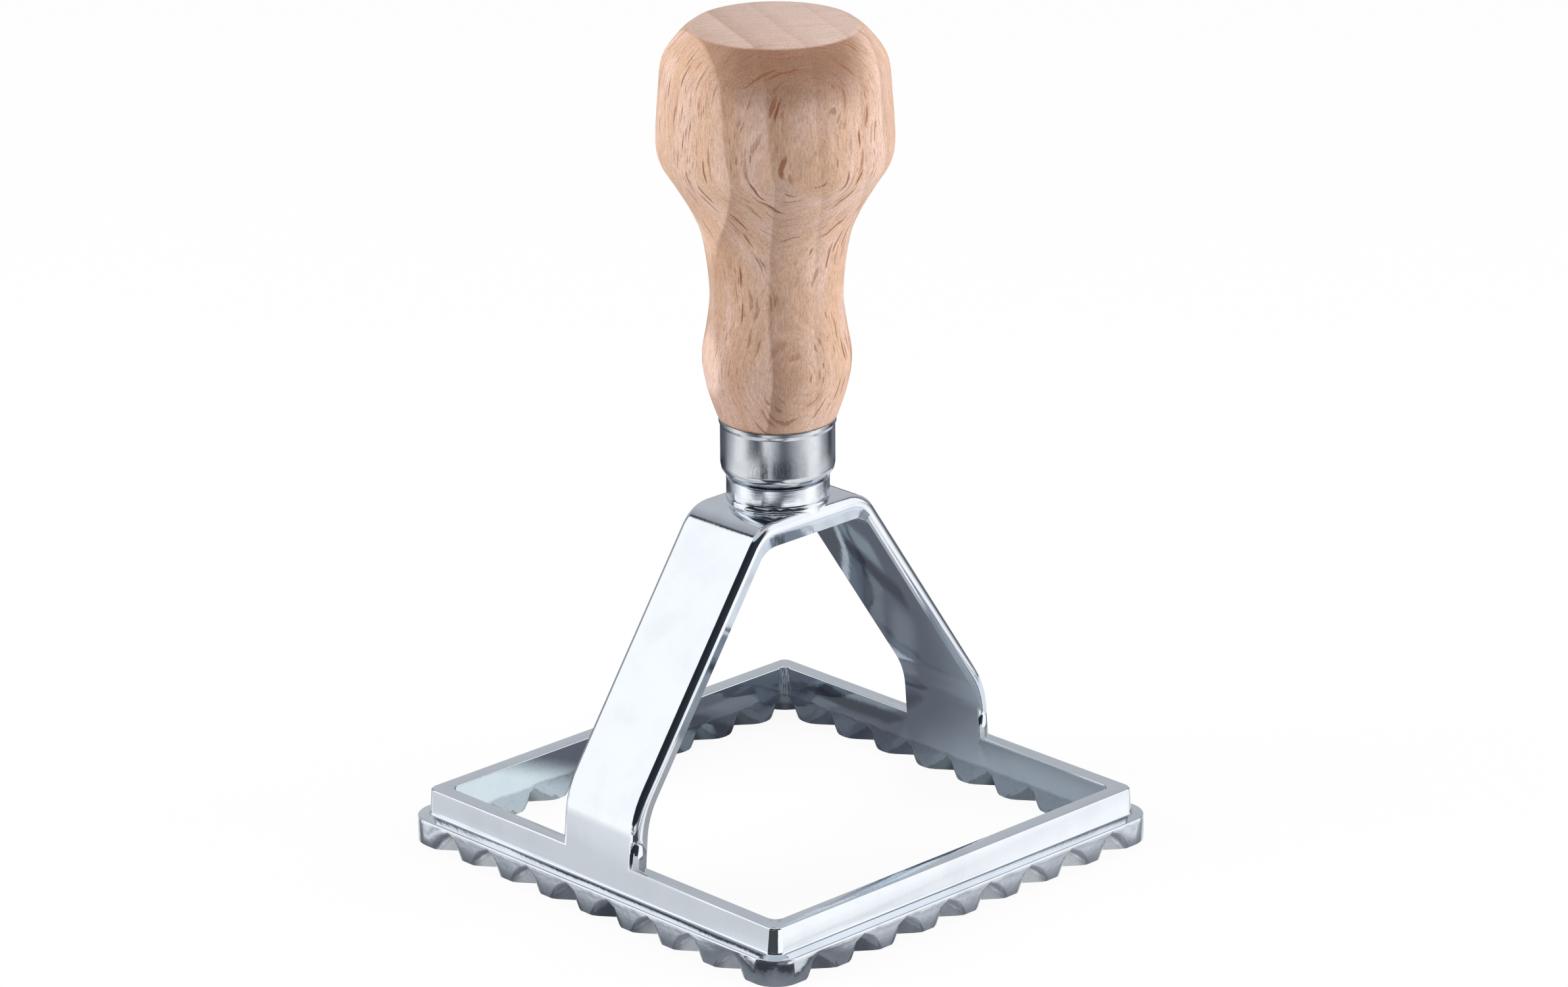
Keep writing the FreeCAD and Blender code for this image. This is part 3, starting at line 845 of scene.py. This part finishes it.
class STAMP_OT_stage(bpy.types.Operator):
    """Sets the floor, the soft lamps, the cards that the metal reflects and the camera"""

    bl_idname = "stamp.stage"
    bl_label = "Stage"

    def execute(self, context):
        studio = context.scene.stamp_studio
        self.make_floor()
        self.make_tent(studio)
        self.make_reflected_floor(studio)
        self.make_world(context, studio)
        self.make_lamps(context, studio)
        self.make_camera(context, studio)
        context.scene.view_settings.view_transform = "Standard"
        return {"FINISHED"}

    def make_floor(self):
        """Pale floor that shows near white and keeps a faint shadow"""
        builder = bmesh.new()
        bmesh.ops.create_grid(builder, x_segments=1, y_segments=1, size=FLOOR_HALF)
        floor = link_piece("stage_floor", builder)
        floor.visible_glossy = False
        material = bpy.data.materials.new("pale_floor")
        nodes = bare_tree(material)
        matt = nodes.add("ShaderNodeBsdfDiffuse", None, Color=FLOOR_SHADE)
        light = nodes.add("ShaderNodeEmission", None, Color=WHITE, Strength=1.0)
        path = nodes.add("ShaderNodeLightPath")
        mix = nodes.add("ShaderNodeMixShader", None, Fac=nodes.times(path.outputs["Is Camera Ray"], FLOOR_GLOW))
        nodes.feed(mix, 1, matt.outputs[0])
        nodes.feed(mix, 2, light.outputs[0])
        nodes.show("ShaderNodeOutputMaterial", mix)
        floor.data.materials.append(material)

    def make_tent(self, studio):
        """Round tent with bright and dark panels and a pale top"""
        builder = bmesh.new()
        bmesh.ops.create_cone(
            builder,
            cap_ends=True,
            cap_tris=False,
            segments=STAGE_SIDES,
            radius1=TENT_RADIUS,
            radius2=TENT_RADIUS,
            depth=TENT_HEIGHT,
        )
        bmesh.ops.translate(builder, vec=(0, 0, TENT_HEIGHT / 2 - TENT_SINK), verts=builder.verts)
        lowest = [face for face in builder.faces if face.calc_center_median().z < 0]
        bmesh.ops.delete(builder, geom=lowest, context="FACES_ONLY")
        tent = link_piece("stage_tent", builder)

        def panels(nodes, axes):
            high = nodes.spread(axes.outputs["Z"], *TENT_TOP)
            return nodes.blend(high, by_angle(nodes, axes, studio, AROUND_UPPER), TENT_TOP_SHADE)

        tent.data.materials.append(glow_material("tent_panels", panels))
        glossy_only(tent)

    def make_reflected_floor(self, studio):
        """Floor as the metal sees it, by the angle from the camera and in zones near the ring"""
        builder = bmesh.new()
        bmesh.ops.create_circle(builder, cap_ends=True, segments=STAGE_SIDES, radius=CARD_RADIUS)
        bmesh.ops.translate(builder, vec=(0, 0, -CARD_DEPTH), verts=builder.verts)
        card = link_piece("stage_reflected_floor", builder)

        def zones(nodes, axes):
            x, y = axes.outputs["X"], axes.outputs["Y"]
            distance = nodes.length(x, y)
            collar = nodes.times(nodes.spread(distance, *COLLAR_INNER), nodes.spread(distance, *COLLAR_OUTER))
            tone = nodes.blend(
                collar, by_angle(nodes, axes, studio, AROUND_FERRULE), by_angle(nodes, axes, studio, AROUND_COLLAR)
            )

            # beside the two front walls the floor is shaded by the ring, less so further out
            front = nodes.math("MINIMUM", x, y)
            outside = nodes.math("MULTIPLY_ADD", front, -1 / NEAR_SPAN, -WALL_LINE / NEAR_SPAN)
            lead = nodes.math("SUBTRACT", x, y)
            beside = nodes.blend(
                nodes.spread(lead, *FRONT_HALVES), nodes.ramp(outside, NEAR_LEFT), nodes.ramp(outside, NEAR_RIGHT)
            )
            near = nodes.times(nodes.spread(distance, *NEAR_OUTER), nodes.spread(front, *NEAR_INNER))
            tone = nodes.blend(near, tone, beside)

            # pale floor behind the ring on the right; painted shadow of the ring on the floor at its front corner and
            # out beyond the left wall
            right = nodes.times(nodes.spread(x, *RIGHT_INNER), nodes.spread(distance, *RIGHT_OUTER))
            right = nodes.times(right, nodes.spread(y, *RIGHT_FRONT))
            tone = nodes.blend(right, tone, RIGHT_SHADE)
            corner = nodes.times(nodes.spread(nodes.math("ABSOLUTE", lead), *CORNER_SIDES), near)
            tone = nodes.blend(corner, tone, nodes.ramp(outside, NEAR_CORNER))
            foot = nodes.times(nodes.spread(x, *FOOT_X), nodes.spread(y, *FOOT_Y))
            tone = nodes.blend(nodes.times(foot, near), tone, FOOT_SHADE)

            # the floor inside the ring is a painted shadow of the stamp, with lighter zones that show in single walls
            # or arms
            inner = INNER_SHADE
            for low_x, high_x, low_y, high_y, soft, shade in INNER_ZONES:
                share = nodes.times(nodes.window(x, low_x, high_x, soft), nodes.window(y, low_y, high_y, soft))
                inner = nodes.blend(share, inner, shade)
            widest = nodes.math("MAXIMUM", nodes.math("ABSOLUTE", x), nodes.math("ABSOLUTE", y))
            return nodes.blend(nodes.spread(widest, *RING_INSIDE), tone, inner)

        card.data.materials.append(glow_material("reflected_floor", zones))
        glossy_only(card)

    def make_world(self, context, studio):
        """Even light on the object and white behind it"""
        world = bpy.data.worlds.new("studio_world")
        context.scene.world = world
        nodes = bare_tree(world)
        path = nodes.add("ShaderNodeLightPath")
        seen = nodes.math("MAXIMUM", path.outputs["Is Camera Ray"], path.outputs["Is Transmission Ray"])
        seen = nodes.math("MAXIMUM", seen, path.outputs["Is Glossy Ray"])
        strength = nodes.math("MULTIPLY_ADD", seen, 1.0 - studio.ambient, studio.ambient)
        nodes.show("ShaderNodeOutputWorld", nodes.add("ShaderNodeBackground", None, Color=WHITE, Strength=strength))

    def make_lamps(self, context, studio):
        """Two large soft lamps beside the camera and one above"""
        right, _, back = camera_axes(studio)
        target = Vector(LAMP_TARGET)
        for name, side, rise, depth, width, watts in LAMPS:
            lamp = bpy.data.lights.new(f"{name}_lamp", "AREA")
            lamp.shape = "DISK"
            lamp.size = width
            lamp.energy = watts
            holder = bpy.data.objects.new(f"{name}_lamp", lamp)
            spot = target + right * side + back * depth + Vector((0, 0, rise))
            turn = (target - spot).to_track_quat("-Z", "Y").to_matrix().to_4x4()
            holder.matrix_world = Matrix.Translation(spot) @ turn
            holder.visible_glossy = False
            context.scene.collection.objects.link(holder)

    def make_camera(self, context, studio):
        """Camera at the photograph's angle"""
        right, up, back = camera_axes(studio)
        data = bpy.data.cameras.new("photo_camera")
        data.sensor_width = 36.0
        data.lens = studio.lens
        data.clip_start = 0.01
        camera = bpy.data.objects.new("photo_camera", data)
        context.scene.collection.objects.link(camera)
        spot = Vector(studio.aim) + back * studio.distance
        turn = Matrix((right, up, back)).transposed().to_4x4()
        camera.matrix_world = Matrix.Translation(spot) @ turn
        context.scene.camera = camera


def camera_axes(studio):
    """Right, up and backward direction of the camera"""
    back = Vector(
        (
            math.sin(studio.azimuth) * math.cos(studio.elevation),
            -math.cos(studio.azimuth) * math.cos(studio.elevation),
            math.sin(studio.elevation),
        )
    )
    level = Vector((math.cos(studio.azimuth), math.sin(studio.azimuth), 0))
    above = back.cross(level)
    right = level * math.cos(studio.roll) + above * math.sin(studio.roll)
    up = above * math.cos(studio.roll) - level * math.sin(studio.roll)
    return right, up, back


class VIEW3D_PT_stamp(bpy.types.Panel):
    """Lists the pieces of the stamp"""

    bl_label = "Ravioli stamp"
    bl_space_type = "VIEW_3D"
    bl_region_type = "UI"
    bl_category = "Stamp"

    def draw(self, context):
        layout = self.layout
        for group in (context.scene.stamp_sizes, context.scene.stamp_colours, context.scene.stamp_studio):
            column = layout.column(align=True)
            for name in group.__annotations__:
                column.prop(group, name)
        for operator in OPERATORS:
            layout.operator(operator.bl_idname)


OPERATORS = (STAMP_OT_frame, STAMP_OT_ferrule, STAMP_OT_handle, STAMP_OT_stage)
CLASSES = (StampSizes, StampColours, StampStudio, *OPERATORS, VIEW3D_PT_stamp)


def register():
    """Registers the classes and the settings on the scene"""
    for item in CLASSES:
        bpy.utils.register_class(item)
    bpy.types.Scene.stamp_sizes = bpy.props.PointerProperty(type=StampSizes)
    bpy.types.Scene.stamp_colours = bpy.props.PointerProperty(type=StampColours)
    bpy.types.Scene.stamp_studio = bpy.props.PointerProperty(type=StampStudio)


def unregister():
    """Takes the classes and settings away again"""
    del bpy.types.Scene.stamp_studio
    del bpy.types.Scene.stamp_colours
    del bpy.types.Scene.stamp_sizes
    for item in reversed(CLASSES):
        bpy.utils.unregister_class(item)


def main():
    """Builds every piece in order"""
    clear_scene()
    register()
    bpy.ops.stamp.frame()
    bpy.ops.stamp.ferrule()
    bpy.ops.stamp.handle()
    bpy.ops.stamp.stage()


if __name__ == "__main__":
    main()
